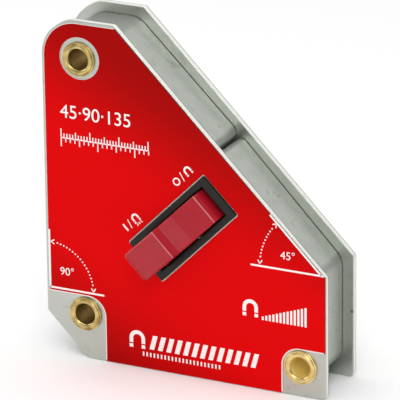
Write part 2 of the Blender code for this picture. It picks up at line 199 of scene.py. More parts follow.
# Plated shear edge: the same zinc over cut steel, painted pale, near white, as a painted highlight along the
# plates' rims.
# The last third of each plate's thickness, towards its rear face, is coloured dark and is rough.
shear_edge, tree, spot = new_finish("zinc_plated_shear_edge")
tears = add_node(tree, "TexNoise", {"Vector": spot, "Scale": 1 / (0.7 * MM), "Detail": 3.0})
# Painted highlight: the near-white greys stand in for light caught on the plates' rims.
highlight_colour = add_node(tree, "Mix", {0: tears.outputs["Fac"], 6: colour("#E4E4DC"), 7: colour("#F8F8F2")},
                data_type="RGBA")
# Depth into whichever plate it is, from its front face. The pitch is a hair short, so that
# the rear plate's front face counts as its own and not as the end of the gap.
PLATE_PITCH = DEPTH - PLATE - 0.01
along_depth = add_node(tree, "SeparateXYZ", {0: spot}).outputs["Y"]
from_front = add_node(tree, "Math", {0: along_depth, 1: EDGE_LOW.y}, operation="SUBTRACT")
per_plate = add_node(tree, "Math", {0: from_front.outputs[0], 1: PLATE_PITCH * MM},
                     operation="FLOORED_MODULO")
# Darker towards each plate's rear face.
dark_rear_band = add_node(tree, "MapRange", {"Value": per_plate.outputs[0], "From Min": 0.64 * PLATE * MM,
                                        "From Max": 0.76 * PLATE * MM})
highlight_and_dark_rear = add_node(tree, "Mix", {0: dark_rear_band.outputs[0], 6: highlight_colour.outputs[2], 7: colour("#6E706A")},
                        data_type="RGBA")
torn = add_node(tree, "Bump", {"Height": tears.outputs["Fac"], "Strength": 0.3, "Distance": 0.05 * MM})
edge_steel = add_node(tree, "BsdfPrincipled", {"Base Color": highlight_and_dark_rear.outputs[2], "Metallic": 0.6,
                                               "Roughness": 0.55, "Normal": torn.outputs[0]})
add_node(tree, "OutputMaterial", {"Surface": edge_steel.outputs[0]})


def mark_shear_edges(shape):
    """Give the blank's rim and the rims of its holes the second finish."""
    steepest = math.cos(math.radians(60))
    shape.normal_update()
    for face in shape.faces:
        face.material_index = int(abs(face.normal.z) < steepest)


shape = bmesh.new()
draw_loop(shape, PLATE_CORNERS)
for centre in EYELETS.values():
    draw_hole(shape, centre, EYELET_HOLE)
raise_sheet(shape, -DEPTH, -DEPTH + PLATE, RIM)
mark_shear_edges(shape)
rear = place_piece("rear_pole_plate", shape, PLATES, zinc_plate, shear_edge)
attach(rear, "root")
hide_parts("rear_plate")

# Fixed magnets: sintered ferrite blocks, ground on their faces and glued between the plates,
# one beside the upright edge, one beside the base edge and two behind the 45 degree edge.
# Sintered ferrite: charcoal grey and matt, with a fine ceramic grain and paler pits.
ferrite, tree, spot = new_finish("ground_sintered_ferrite")
grain = add_node(tree, "TexNoise", {"Vector": spot, "Scale": 1 / (0.4 * MM), "Detail": 4.0})
pits = add_node(tree, "TexVoronoi", {"Vector": spot, "Scale": 1 / (1.5 * MM)})
charcoal = add_node(tree, "Mix", {0: grain.outputs["Fac"], 6: colour("#2B2C2E"), 7: colour("#45464A")},
                    data_type="RGBA")
pitted = add_node(tree, "Bump", {"Height": pits.outputs["Distance"], "Strength": 0.4, "Distance": 0.05 * MM})
stone = add_node(tree, "BsdfPrincipled", {"Base Color": charcoal.outputs[2], "Roughness": 0.62,
                                          "Normal": pitted.outputs[0]})
add_node(tree, "OutputMaterial", {"Surface": stone.outputs[0]})
for name in ("side_magnet", "base_magnet", "mitre_magnet_upper", "mitre_magnet_lower"):
    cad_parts[name].material_slots[0].material = ferrite

# Guide rails, eyelet sleeves and the two pins: drawn and turned steel, left bright. The rails
# are spot welded to the rear plate, the sleeves space the plates, and the pins are pressed in.
# Bright drawn steel: neutral, shiny, with drawing lines about as long as the part.
bright_steel, tree, spot = new_finish("bright_drawn_steel")
drawn = add_node(tree, "Mapping", {"Vector": spot, "Scale": (1 / (0.4 * MM), 1 / (8 * MM), 1 / (0.4 * MM))})
lines = add_node(tree, "TexNoise", {"Vector": drawn.outputs[0], "Scale": 1.0, "Detail": 2.0})
grey = add_node(tree, "Mix", {0: lines.outputs["Fac"], 6: colour("#B4B6B8"), 7: colour("#D0D2D3")},
                data_type="RGBA")
gloss = add_node(tree, "MapRange", {"Value": lines.outputs["Fac"], "To Min": 0.18, "To Max": 0.34})
metal = add_node(tree, "BsdfPrincipled", {"Base Color": grey.outputs[2], "Metallic": 1.0,
                                          "Roughness": gloss.outputs[0]})
add_node(tree, "OutputMaterial", {"Surface": metal.outputs[0]})
for name in ("guide_rail_upper", "guide_rail_lower", "spacer_top", "spacer_corner", "hinge_pin", "drive_pin"):
    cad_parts[name].material_slots[0].material = bright_steel

# Magnet carriage: a moulded acetal frame that slides between the rails, with two sintered
# magnets pressed into its pockets. It is what the rocker moves.
# Natural acetal: milky white and slightly waxy, with a soft moulded texture.
acetal, tree, spot = new_finish("natural_moulded_acetal")
flow = add_node(tree, "TexNoise", {"Vector": spot, "Scale": 1 / (3 * MM), "Detail": 3.0})
milky = add_node(tree, "Mix", {0: flow.outputs["Fac"], 6: colour("#DEDCD2"), 7: colour("#EDEBE3")},
                 data_type="RGBA")
waxy = add_node(tree, "Bump", {"Height": flow.outputs["Fac"], "Strength": 0.15, "Distance": 0.05 * MM})
resin = add_node(tree, "BsdfPrincipled", {"Base Color": milky.outputs[2], "Roughness": 0.38, "IOR": 1.48,
                                          "Normal": waxy.outputs[0]})
add_node(tree, "OutputMaterial", {"Surface": resin.outputs[0]})
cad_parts["magnet_carriage"].material_slots[0].material = acetal

# Nickel-plated magnets: warm silver and glossy, with a barrel-tumbled orange peel.
nickel, tree, spot = new_finish("tumbled_nickel_plate")
peel = add_node(tree, "TexNoise", {"Vector": spot, "Scale": 1 / (0.8 * MM), "Detail": 2.0})
silver = add_node(tree, "Mix", {0: peel.outputs["Fac"], 6: colour("#BDB8AC"), 7: colour("#CFCBC0")},
                  data_type="RGBA")
dimples = add_node(tree, "Bump", {"Height": peel.outputs["Fac"], "Strength": 0.2, "Distance": 0.02 * MM})
plating = add_node(tree, "BsdfPrincipled", {"Base Color": silver.outputs[2], "Metallic": 1.0,
                                            "Roughness": 0.18, "Normal": dimples.outputs[0]})
add_node(tree, "OutputMaterial", {"Surface": plating.outputs[0]})
for name in ("carriage_magnet_a", "carriage_magnet_b"):
    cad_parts[name].material_slots[0].material = nickel

# Rim bands: two lengths of 0.8 mm galvanised strip, folded to the plates' outline and clamped
# between them. Both turn inwards at a slit in the 45 degree edge and meet at the chamfer.
BAND = 0.8
BAND_TOP = 3.3                 # inset of its outer face from the top edge
BAND_LEFT = 3.5
BAND_RIGHT = 3.9
BAND_BASE = 3.3
BAND_MITRE = 2.9               # inset from the 45 degree edge at the slit
BAND_MITRE_ENDS = 3.7          # and at the far corners, as each half leans inwards
SLIT = 0.5
SLIT_ALONG = 10.7              # from the switch's middle, towards the top corner
TURNED_IN = 4.8
SEAM = 0.3                     # between the strip's edges and the plates
SAME_PLACE = 0.01              # points nearer than this are at the same corner
BAND_LOW = -DEPTH + PLATE + SEAM
BAND_HIGH = -PLATE - SEAM
HALF_GAP = 0.1                 # each half stops this far short of the other at the chamfer

pin_low, pin_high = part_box("hinge_pin")
SWITCH_MIDDLE = PLATES.inverted() @ ((pin_low + pin_high) / 2)
SWITCH_MIDDLE.z = 0
IN_SWITCH = Matrix.Translation(SWITCH_MIDDLE) @ Matrix.Rotation(math.pi / 4, 4, "Z")
SWITCH = PLATES @ IN_SWITCH


def fold_band(corners):
    """Fold a strip round corners (x, y, bend radius), whose first and last are its ends."""
    shape = bmesh.new()
    foot = [shape.verts.new((x, y, BAND_LOW)) for x, y, radius in corners]
    run = [shape.edges.new(pair) for pair in zip(foot, foot[1:])]
    wall = bmesh.ops.extrude_edge_only(shape, edges=run)["geom"]
    lifted = [item for item in wall if isinstance(item, bmesh.types.BMVert)]
    bmesh.ops.translate(shape, verts=lifted, vec=(0, 0, BAND_HIGH - BAND_LOW))
    for x, y, radius in corners[1:-1]:
        corner = Vector((x, y))
        bend = [edge for edge in shape.edges
                if all((vert.co.xy - corner).length < SAME_PLACE for vert in edge.verts)]
        turn = bend[0].calc_face_angle()
        bmesh.ops.bevel(shape, geom=bend, offset=radius * math.tan(turn / 2), offset_type="OFFSET",
                        affect="EDGES", segments=10, profile=0.5, material=-1)
    bmesh.ops.recalc_face_normals(shape, faces=shape.faces)
    bmesh.ops.solidify(shape, geom=shape.faces[:], thickness=BAND)
    return shape


# Galvanised strip: cool bright grey, brushed along its length, with dark handling scuffs.
galvanised, tree, spot = new_finish("brushed_galvanised_strip")
clouds = add_node(tree, "TexNoise", {"Vector": spot, "Scale": 1 / (5 * MM), "Detail": 5.0, "Roughness": 0.6})
# Real brush lines are about 0.05 mm apart: drawn at 0.45 mm to show.
across = add_node(tree, "Mapping", {"Vector": spot, "Scale": (1 / (6 * MM), 1 / (0.45 * MM), 1 / (6 * MM))})
brushing = add_node(tree, "TexNoise", {"Vector": across.outputs[0], "Scale": 1.0, "Detail": 2.0})
scuffs = add_node(tree, "TexNoise", {"Vector": spot, "Scale": 1 / (5 * MM), "Detail": 5.0, "Roughness": 0.7})
scuffed = add_node(tree, "MapRange", {"Value": scuffs.outputs["Fac"], "From Min": 0.58, "From Max": 0.70,
                                      "To Max": 0.6})
silver = add_node(tree, "Mix", {0: clouds.outputs["Fac"], 6: colour("#A4A9A2"), 7: colour("#C2C6BF")},
                  data_type="RGBA")
marked = add_node(tree, "Mix", {0: scuffed.outputs[0], 6: silver.outputs[2], 7: colour("#7E827C")},
                  data_type="RGBA")
dull = add_node(tree, "MapRange", {"Value": brushing.outputs["Fac"], "To Min": 0.30, "To Max": 0.50})
lines = add_node(tree, "Bump", {"Height": brushing.outputs["Fac"], "Strength": 0.3, "Distance": 0.03 * MM})
strip = add_node(tree, "BsdfPrincipled", {"Base Color": marked.outputs[2], "Metallic": 1.0,
                                          "Roughness": dull.outputs[0], "Normal": lines.outputs[0]})
add_node(tree, "OutputMaterial", {"Surface": strip.outputs[0]})

ROOT_2 = math.sqrt(2)
mitre_sum = WIDTH + RIGHT_EDGE                 # x + y all along the 45 degree edge
slit = (IN_SWITCH @ Vector((0, SLIT_ALONG, 0))).xy
slit += Vector((1, 1)) * (mitre_sum - BAND_MITRE * ROOT_2 - slit.x - slit.y) / 2
along = Vector((-1, 1)).normalized()
inward = Vector((-1, -1)).normalized()
upper_bend = slit + along * SLIT / 2
lower_bend = slit - along * SLIT / 2
lean_sum = mitre_sum - BAND_MITRE_ENDS * ROOT_2
chamfer_sum = CORNER_CHAMFER + BAND_LEFT * ROOT_2
band_top = HEIGHT - BAND_TOP
band_right = WIDTH - BAND_RIGHT
upper_path = [
    (*(upper_bend + inward * TURNED_IN), 0),
    (*upper_bend, 3.8),
    (lean_sum - band_top, band_top, 6.4),
    (BAND_LEFT, band_top, 9.4),
    (BAND_LEFT, chamfer_sum - BAND_LEFT, 3.4),
    (chamfer_sum / 2 - HALF_GAP, chamfer_sum / 2 + HALF_GAP, 0),
]
lower_path = [
    (*(lower_bend + inward * TURNED_IN), 0),
    (*lower_bend, 2.2),
    (band_right, lean_sum - band_right, 6.4),
    (band_right, BAND_BASE, 6.4),
    (chamfer_sum - BAND_BASE, BAND_BASE, 3.4),
    (chamfer_sum / 2 + HALF_GAP, chamfer_sum / 2 - HALF_GAP, 0),
]
for half, path in (("upper", upper_path), ("lower", lower_path)):
    band = place_piece(half + "_rim_band", fold_band(path), PLATES, galvanised)
    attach(band, "root")
    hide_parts(half + "_band")

# Front pole plate: the same blank as the rear one, with a window for the switch housing. It
# clamps the bands against the rear plate.
CUP = (33.8, 13.6)             # outside of the housing's cup, which fits in the window
CUP_ROUND = 0.6
WINDOW_MARGIN = 0.4


def on_switch(size, radius):
    """Corners of a rectangle about the switch's middle, in the plates' frame."""
    signs = ((-1, -1), (1, -1), (1, 1), (-1, 1))
    places = [IN_SWITCH @ Vector((su * size[0] / 2, sv * size[1] / 2, 0)) for su, sv in signs]
    return [(place.x, place.y, radius) for place in places]


shape = bmesh.new()
draw_loop(shape, PLATE_CORNERS)
draw_loop(shape, on_switch([side + 2 * WINDOW_MARGIN for side in CUP], CUP_ROUND))
for centre in EYELETS.values():
    draw_hole(shape, centre, EYELET_HOLE)
raise_sheet(shape, -PLATE, 0, RIM)
mark_shear_edges(shape)
front = place_piece("front_pole_plate", shape, PLATES, zinc_plate, shear_edge)
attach(front, "root")
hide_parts("front_plate")

# Eyelets: drawn brass tubes through both plates, rolled over into a round rim at each end.
# They hold the sandwich together and leave a hole for hanging it up.
BORE = 3.3                     # radii of the bore, the tube, the roll and the skirt round it
BARREL = 3.6
ROLL = 4.95
FLANGE = 5.5
CROWN = 1.0                    # height of the roll
SKIRT_STEP = 0.55              # height at which the roll meets the pressed-down skirt
SKIRT_RISE = 0.12              # and how far the skirt rises again
GROOVE = 0.02                  # depth of the groove between the two
SKIRT_TUCK = 0.06              # the skirt's foot is this much narrower
SQUARENESS = 0.8               # 1 makes the roll a half ellipse, less makes it squarer
ROLL_STEPS = 14
SKIRT_TURNS = (157.5, 135, 112.5, 90, 60, 30, 0)
SEAT = 0.05                    # height of the lowest points above the plate
ON_BORE = BORE + 0.02          # faces nearer the middle than this line the bore


def brass_finish(name, clean, tarnished, grain, roughness, metallic=1.0):
    """Brass that goes from clean to tarnished in soft clouds, of a grain in millimetres."""
    finish, tree, spot = new_finish(name)
    haze = add_node(tree, "TexNoise", {"Vector": spot, "Scale": 1 / (grain * MM), "Detail": 2.0})
    tarnish = add_node(tree, "MapRange", {"Value": haze.outputs["Fac"], "From Min": 0.35, "From Max": 0.70})
    gold = add_node(tree, "Mix", {0: tarnish.outputs[0], 6: colour(clean), 7: colour(tarnished)},
                    data_type="RGBA")
    gloss = add_node(tree, "MapRange", {"Value": haze.outputs["Fac"], "To Min": roughness - 0.04,
                                        "To Max": roughness + 0.04})
    metal = add_node(tree, "BsdfPrincipled", {"Base Color": gold.outputs[2], "Metallic": metallic,
                                              "Roughness": gloss.outputs[0]})
    add_node(tree, "OutputMaterial", {"Surface": metal.outputs[0]})
    return finish


# The right eyelet's bore is painted a bright, diffuse yellow brass, as painted light falling into it. The two
# sleeved ones have darker rims, as painted shade, and their bores are duller and browner, as painted shade in
# the deep bores.
rolled_brass = brass_finish("rolled_brass", "#EED898", "#C4AE6E", 3.5, 0.24)
bore_painted_light_brass = brass_finish("bore_painted_light_brass", "#FFEC98", "#F6DE84", 2.5, 0.40, metallic=0.3)
rim_painted_shade_brass = brass_finish("rim_painted_shade_brass", "#D6C07E", "#96824C", 3.5, 0.26)
bore_painted_shade_brass = brass_finish("bore_painted_shade_brass", "#D2BE88", "#B8A274", 2.2, 0.42)

for place, centre in EYELETS.items():
    shape = bmesh.new()
    front_roll = []
    for step in range(ROLL_STEPS + 1):
        angle = math.pi * step / ROLL_STEPS
        foot = SEAT if step < ROLL_STEPS / 2 else SKIRT_STEP
        front_roll.append(((BORE + ROLL) / 2 - (ROLL - BORE) / 2 * math.cos(angle),
                           foot + (CROWN - foot) * math.sin(angle) ** SQUARENESS))
    for turn in SKIRT_TURNS:
        angle = math.radians(turn)
        front_roll.append(((ROLL + FLANGE) / 2 + (FLANGE - ROLL) / 2 * math.cos(angle),
                           SKIRT_STEP - GROOVE + SKIRT_RISE * math.sin(angle)))
    front_roll.append((FLANGE - SKIRT_TUCK, SEAT))
    rear_roll = [(radius, -DEPTH - height) for radius, height in reversed(front_roll)]
    section = front_roll + [(BARREL, SEAT), (BARREL, -DEPTH - SEAT)] + rear_roll
    ring = [shape.verts.new((radius, 0, height)) for radius, height in section]
    edges = [shape.edges.new(pair) for pair in zip(ring, ring[1:] + ring[:1])]
    bmesh.ops.spin(shape, geom=ring + edges, axis=(0, 0, 1), cent=(0, 0, 0), angle=2 * math.pi,
                   steps=64, use_merge=True)
    bmesh.ops.recalc_face_normals(shape, faces=shape.faces)
    for face in shape.faces:
        face.material_index = int(face.calc_center_median().xy.length < ON_BORE)
    bmesh.ops.translate(shape, verts=shape.verts, vec=(*centre, 0))
    # Painted light in the right bore; painted shade on the other two rims and in their bores.
    finishes = (rolled_brass, bore_painted_light_brass) if place == "right" else (rim_painted_shade_brass, bore_painted_shade_brass)
    eyelet = place_piece("brass_eyelet_" + place, shape, PLATES, *finishes)
    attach(eyelet, "root")
    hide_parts("eyelet_" + place)

# Label film: screen-printed polyester, 0.25 mm with its glue, cut to the front plate and
# round the switch, the top eyelet and the two lower ones. The cut edge shows its white core.
LIP = (36.2, 15.7)             # outside of the switch housing's lip
LIP_MARGIN = 0.25              # between the lip and the film
FILM_LOW = 0.02
FILM_TOP = 0.27
FILM_RIM = 0.08
FILM_EDGE = 0.2                # bare plate left along the base, right and 45 degree edges
FILM_LEAN = 0.5                # and along the 45 degree edge at its upper end
FILM_INSET = 1.0               # and along the left and top edges
LEFT_NOTCH = (20.5, 20.9)      # inner corners of the notches round the two lower eyelets
RIGHT_NOTCH = (81.4, 15.45)
FILM_CORNERS = [
    (LEFT_NOTCH[0], FILM_EDGE, 0.5),
    (RIGHT_NOTCH[0], FILM_EDGE, 0.5),
    (*RIGHT_NOTCH, 5.7),
    (WIDTH - FILM_EDGE, RIGHT_NOTCH[1], 0.5),
    (WIDTH - FILM_EDGE, RIGHT_EDGE + FILM_EDGE - FILM_EDGE * ROOT_2, 0.8),
    (mitre_sum - FILM_LEAN * ROOT_2 - HEIGHT + FILM_INSET, HEIGHT - FILM_INSET, 0.8),
    (FILM_INSET, HEIGHT - FILM_INSET, 11.3),
    (FILM_INSET, LEFT_NOTCH[1], 0.5),
    (*LEFT_NOTCH, 6.0),
]
UNPRINTED = 0.28               # margin of white film round the two lower notches
NOTCH_FOOT, NOTCH_TOP = 1, 22  # heights between which it lies
FILM_HOLE = (13.3, 98.9)       # round the top eyelet
FILM_HOLE_RADIUS = 6.7
SHADE_RIGHT = 0.8               # the painted shade line is within this of the plate's right edge
SHADE_MITRE = 1.3               # or this of its 45 degree edge, as x + y

# Screen-printed polyester: saturated signal red, nearly matt, with the faint grain of the ink. The red is
# painted brighter in a band across the middle and deeper towards the top and the bottom left, as painted
# light and shade.
red_film, tree, spot = new_finish("screen_printed_red_polyester")
# The painted light and shade run up and to the right, in millimetres from the painted band's brightest line.
painted_light_axis = add_node(tree, "VectorMath", {0: spot, 1: (0.48 / MM, 0.0, 0.88 / MM)}, operation="DOT_PRODUCT")
centred = add_node(tree, "Math", {0: painted_light_axis.outputs["Value"], 1: 31.1}, operation="SUBTRACT")
distance = add_node(tree, "Math", {0: centred.outputs[0]}, operation="ABSOLUTE")
painted_light_falloff = add_node(tree, "MapRange", {"Value": distance.outputs[0], "From Min": 12.0, "From Max": 50.0},
                interpolation_type="SMOOTHSTEP")
ink_grain = add_node(tree, "TexNoise", {"Vector": spot, "Scale": 1 / (0.6 * MM), "Detail": 3.0})
# Painted light and shade: the bright red is the painted light, the deep red the painted shade.
red = add_node(tree, "Mix", {0: painted_light_falloff.outputs[0], 6: colour("#DA0205"), 7: colour("#9E0403")},
               data_type="RGBA")
speckled = add_node(tree, "Mix", {0: 0.10, 6: red.outputs[2], 7: ink_grain.outputs["Color"]},
                    data_type="RGBA", blend_type="SOFT_LIGHT")
grainy = add_node(tree, "Bump", {"Height": ink_grain.outputs["Fac"], "Strength": 0.1, "Distance": 0.02 * MM})
film = add_node(tree, "BsdfPrincipled", {"Base Color": speckled.outputs[2], "Roughness": 0.42,
                                         "Specular IOR Level": 0.04, "Normal": grainy.outputs[0]})
add_node(tree, "OutputMaterial", {"Surface": film.outputs[0]})

# Cut polyester: white and matt, where the knife has opened the film's core.
cut_film, tree, spot = new_finish("cut_white_polyester")
fibres = add_node(tree, "TexNoise", {"Vector": spot, "Scale": 1 / (0.5 * MM), "Detail": 2.0})
white = add_node(tree, "Mix", {0: fibres.outputs["Fac"], 6: colour("#E6E0DA"), 7: colour("#F6F2EE")},
                 data_type="RGBA")
core = add_node(tree, "BsdfPrincipled", {"Base Color": white.outputs[2], "Roughness": 0.6})
add_node(tree, "OutputMaterial", {"Surface": core.outputs[0]})

# Painted shade: a dark line along the two long cut edges at the right, where the film's cut edge lies in
# shade.
film_edge_painted_shade, tree, spot = new_finish("painted_shade_film_edge")
shade_grain = add_node(tree, "TexNoise", {"Vector": spot, "Scale": 1 / (0.8 * MM), "Detail": 3.0})
# Painted shade: dark brownish red that stands in for the shaded cut edge.
shade_colour = add_node(tree, "Mix", {0: shade_grain.outputs["Fac"], 6: colour("#2A1210"), 7: colour("#5A2A24")},
                 data_type="RGBA")
shade_skin = add_node(tree, "BsdfPrincipled", {"Base Color": shade_colour.outputs[2], "Roughness": 0.7})
add_node(tree, "OutputMaterial", {"Surface": shade_skin.outputs[0]})

shape = bmesh.new()
draw_loop(shape, FILM_CORNERS)
draw_loop(shape, on_switch([side + 2 * LIP_MARGIN for side in LIP], 0.5))
draw_hole(shape, FILM_HOLE, FILM_HOLE_RADIUS, 64)
printed = raise_sheet(shape, FILM_LOW, FILM_TOP, FILM_RIM, steps=1)
for face in shape.faces:
    face.material_index = 1
for face in printed:
    face.material_index = 0
margin = bmesh.ops.inset_region(shape, faces=printed, use_boundary=True, use_even_offset=True,
                                thickness=UNPRINTED)["faces"]
for face in margin:
    face.material_index = int(NOTCH_FOOT < face.calc_center_median().y < NOTCH_TOP)
# The two long edges at the right show the painted shade line.
for face in shape.faces:
    x, y = face.calc_center_median().xy
    if x > WIDTH - SHADE_RIGHT or x + y > mitre_sum - SHADE_MITRE:
        face.material_index = 0 if face in printed or face in margin else 2
label = place_piece("label_film", shape, PLATES, red_film, cut_film, film_edge_painted_shade)
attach(label, "root")
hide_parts("front_label")

# Printed marks: white ink on the red film. Two angle marks with their figures, the switch's
# on and off marks, a small rule, a force gauge and a band of slanted stripes.
INK = 0.04                     # thickness of the print
LINE = 0.6
THIN_LINE = 0.36
DOT = 0.27
DOT_PITCH = 1.15
ARROW = 1.4
ARROW_SPREAD = math.radians(32)
FIGURE = 2.7                   # height of the angle marks' figures
MERGE = 0.001                  # points nearer than this become one


def new_verts(shape, known):
    return [vert for vert in shape.verts if vert not in known]


def draw_bar(shape, start, end, width):
    """A straight printed line."""
    run = Vector(end) - Vector(start)
    place = (Matrix.Translation((*((Vector(start) + Vector(end)) / 2), 0))
             @ Matrix.Rotation(math.atan2(run.y, run.x), 4, "Z")
             @ Matrix.Diagonal((run.length / 2, width / 2, 1, 1)))
    bmesh.ops.create_grid(shape, x_segments=1, y_segments=1, size=1, matrix=place)


def draw_figures(shape, text, corner, height):
    """Figures set from their lower left corner, to the height of a figure."""
    type_set = bpy.data.curves.new("figures", "FONT")
    type_set.body = text
    type_object = bpy.data.objects.new("figures", type_set)
    bpy.context.scene.collection.objects.link(type_object)
    bpy.context.view_layer.update()
    depsgraph = bpy.context.evaluated_depsgraph_get()
    flat = bpy.data.meshes.new_from_object(type_object.evaluated_get(depsgraph))
    bpy.data.objects.remove(type_object)
    known = set(shape.verts)
    shape.from_mesh(flat)
    verts = new_verts(shape, known)
    low = Vector((min(vert.co.x for vert in verts), min(vert.co.y for vert in verts), 0))
    size = height / (max(vert.co.y for vert in verts) - low.y)
    place = Matrix.Translation((*corner, 0)) @ Matrix.Scale(size, 4) @ Matrix.Translation(-low)
    bmesh.ops.transform(shape, matrix=place, verts=verts)


def draw_dotted_arc(shape, centre, radius, start, end):
    """A dotted arc between two angles, with an open arrowhead at each end."""
    count = round(radius * abs(end - start) / DOT_PITCH)
    for index in range(2, count - 1):
        angle = start + (end - start) * index / count
        middle = Vector(centre) + radius * Vector((math.cos(angle), math.sin(angle)))
        bmesh.ops.create_circle(shape, cap_ends=True, segments=10, radius=DOT,
                                matrix=Matrix.Translation((*middle, 0)))
    turn = math.copysign(1, end - start)
    for angle, heading in ((start, -turn), (end, turn)):
        tip = Vector(centre) + radius * Vector((math.cos(angle), math.sin(angle)))
        forward = angle + heading * math.pi / 2
        for side in (-1, 1):
            back = forward + math.pi + side * ARROW_SPREAD
            draw_bar(shape, tip, tip + ARROW * Vector((math.cos(back), math.sin(back))), THIN_LINE)


def draw_horseshoe(shape, middle, size):
    """A horseshoe magnet, poles down: half a ring, and two legs with their tips set off."""
    known = set(shape.verts)
    inner, outer = 0.28, 0.52
    ends = [shape.verts.new((radius, 0, 0)) for radius in (inner, outer)]
    edge = shape.edges.new(ends)
    bmesh.ops.spin(shape, geom=ends + [edge], axis=(0, 0, 1), cent=(0, 0, 0), angle=math.pi, steps=12)
    for side in (-1, 1):
        leg = side * (inner + outer) / 2
        draw_bar(shape, (leg, 0), (leg, -0.3), outer - inner)
        draw_bar(shape, (leg, -0.38), (leg, -0.6), outer - inner)
    place = Matrix.Translation((*middle, 0)) @ Matrix.Scale(size, 4)
    bmesh.ops.transform(shape, matrix=place, verts=new_verts(shape, known))


# White screen ink: slightly warm, almost matt, with the film's grain showing through.
white_ink, tree, spot = new_finish("white_screen_ink")
cover = add_node(tree, "TexNoise", {"Vector": spot, "Scale": 1 / (0.5 * MM), "Detail": 3.0})
off_white = add_node(tree, "Mix", {0: cover.outputs["Fac"], 6: colour("#F2EAE6"), 7: colour("#FCF8F6")},
                     data_type="RGBA")
ink = add_node(tree, "BsdfPrincipled", {"Base Color": off_white.outputs[2], "Roughness": 0.5})
add_node(tree, "OutputMaterial", {"Surface": ink.outputs[0]})

right_angle = bmesh.new()
draw_bar(right_angle, (FILM_INSET + 0.4, 22.0), (FILM_INSET + 0.4, 41.3), LINE)
draw_bar(right_angle, (1.1, 22.15), (20.3, 22.15), LINE)
draw_dotted_arc(right_angle, (1.4, 22.2), 15.2, math.radians(88), math.radians(2))
draw_figures(right_angle, "90°", (5.0, 26.8), FIGURE)

mitre_angle = bmesh.new()
LEVEL = 40.9                   # height of the level line
edge_sum = mitre_sum - FILM_EDGE * ROOT_2 - LINE
draw_bar(mitre_angle, (70.8, LEVEL), (WIDTH - FILM_EDGE - LINE, LEVEL), LINE)
draw_bar(mitre_angle, (edge_sum - 58.0, 58.0), (edge_sum - LEVEL, LEVEL), LINE)
draw_dotted_arc(mitre_angle, (95.2, LEVEL), 21.3, math.radians(137), math.radians(178))
draw_figures(mitre_angle, "45°", (80.8, 44.3), FIGURE)

# The rule has millimetres above its line and sixteenths of an inch below it.
heading = bmesh.new()
RULE_START = 6.4
RULE_LEVEL = 72.4
draw_figures(heading, "45·90·135", (6.2, 79.0), 4.3)
draw_bar(heading, (6.2, RULE_LEVEL), (36.7, RULE_LEVEL), THIN_LINE)
for count, pitch, long_every, up in ((31, 1.0, 10, 1), (20, 25.4 / 16, 8, -1)):
    for tick in range(count):
        length = 2.9 if tick % long_every == 0 else 2.2 if tick % (long_every // 2) == 0 else 1.4
        x = RULE_START + tick * pitch
        draw_bar(heading, (x, RULE_LEVEL), (x, RULE_LEVEL + up * length), THIN_LINE)

gauge = bmesh.new()
draw_horseshoe(gauge, (70.6, 26.8), 5.0)
for step in range(13):
    x = 74.8 + 1.2 * step
    draw_bar(gauge, (x, 23.3), (x, 24.4 + 0.43 * step), 0.7)

stripes = bmesh.new()
STRIPE_FOOT, STRIPE_HEAD = 6.9, 11.6
STRIPE_SLANT = 1.3
draw_horseshoe(stripes, (31.6, 9.8), 5.2)
for step in range(13):
    known = set(stripes.verts)
    x = 36.6 + 2.9 * step
    draw_bar(stripes, (x, STRIPE_FOOT), (x, STRIPE_HEAD), 1.6)
    upper = [vert for vert in new_verts(stripes, known) if vert.co.y > (STRIPE_FOOT + STRIPE_HEAD) / 2]
    bmesh.ops.translate(stripes, verts=upper, vec=(STRIPE_SLANT, 0, 0))
for step in range(22):
    x = 33.7 + 1.25 * step
    draw_bar(stripes, (x, 4.3), (x, 5.7), 0.5)

# A ring for off and a bar for on, each with a slanted stroke and a horseshoe magnet after it.
# The magnet that is on has three rays below its poles.
switch_marks = bmesh.new()
MARKS_V = 12.0                 # from the switch's middle to the middle line of the marks
RING_U, OFF_MAGNET_U = 9.2, 14.8
BAR_U, ON_MAGNET_U = -15.9, -10.9
ring = [switch_marks.verts.new((radius, 0, 0)) for radius in (0.85, 1.3)]
edge = switch_marks.edges.new(ring)
bmesh.ops.spin(switch_marks, geom=ring + [edge], axis=(0, 0, 1), cent=(0, 0, 0), angle=2 * math.pi,
               steps=24, use_merge=True)
bmesh.ops.translate(switch_marks, verts=switch_marks.verts, vec=(RING_U, MARKS_V, 0))
draw_bar(switch_marks, (BAR_U, MARKS_V - 1.3), (BAR_U, MARKS_V + 1.3), 0.6)
for u in (ON_MAGNET_U, OFF_MAGNET_U):
    draw_bar(switch_marks, (u - 3.3, MARKS_V - 1.5), (u - 2.6, MARKS_V + 1.5), 0.3)
    draw_horseshoe(switch_marks, (u, MARKS_V + 0.3), 2.6)
for ray in (-1, 0, 1):
    draw_bar(switch_marks, (ON_MAGNET_U + 0.7 * ray, MARKS_V - 1.5),
             (ON_MAGNET_U + 1.1 * ray, MARKS_V - 2.2), 0.35)

for name, marks, place in (
        ("print_right_angle", right_angle, PLATES),
        ("print_mitre_angle", mitre_angle, PLATES),
        ("print_heading", heading, PLATES),
        ("print_gauge", gauge, PLATES),
        ("print_stripes", stripes, PLATES),
        ("print_switch_marks", switch_marks, SWITCH)):
    bmesh.ops.remove_doubles(marks, verts=marks.verts, dist=MERGE)
    marks.normal_update()
    bmesh.ops.reverse_faces(marks, faces=[face for face in marks.faces if face.normal.z < 0])
    raised = bmesh.ops.extrude_face_region(marks, geom=marks.faces[:])["geom"]
    top_verts = [item for item in raised if isinstance(item, bmesh.types.BMVert)]
    bmesh.ops.translate(marks, verts=top_verts, vec=(0, 0, INK))
    printed_marks = place_piece(name, marks, place @ Matrix.Translation((0, 0, FILM_TOP)), white_ink)
    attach(printed_marks, "root")

